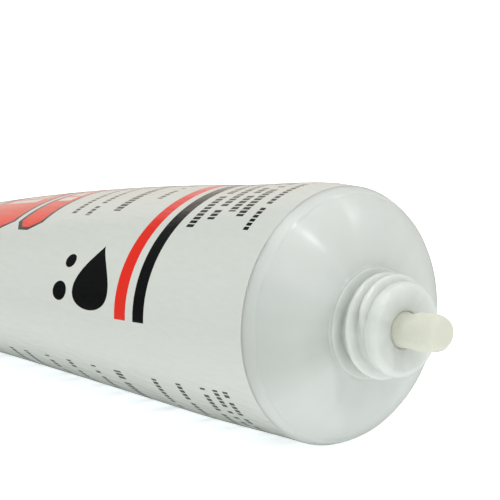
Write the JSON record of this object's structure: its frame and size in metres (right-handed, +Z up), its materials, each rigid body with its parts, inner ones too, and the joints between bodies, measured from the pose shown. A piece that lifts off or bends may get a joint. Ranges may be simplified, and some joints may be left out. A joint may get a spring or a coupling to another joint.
{
  "type": "skin cream tube",
  "caption": "Squeeze tube lying on its back: round at the threaded nozzle, flattened to a ribbed sealed tail, cap off, with a little cream pressed out.",
  "frame": {"origin": "centre of the bounding box's bottom face, on the surface that the tube lies on", "axes": "+X along the tube from its sealed tail to its nozzle, +Z up through the front of the sleeve, +Y across; the nozzle's own axis is tipped up from +X by a few degrees"},
  "size_m": [0.159, 0.0594, 0.0388],
  "materials": {
    "sleeve": "satin, warm white",
    "head": "glossy, cool translucent white",
    "cream": "soft, pale yellow"
  },
  "bodies": {
    "root": {"sleeve": "sleeve", "head": "head", "cream": "cream"}
  },
  "joints": []
}
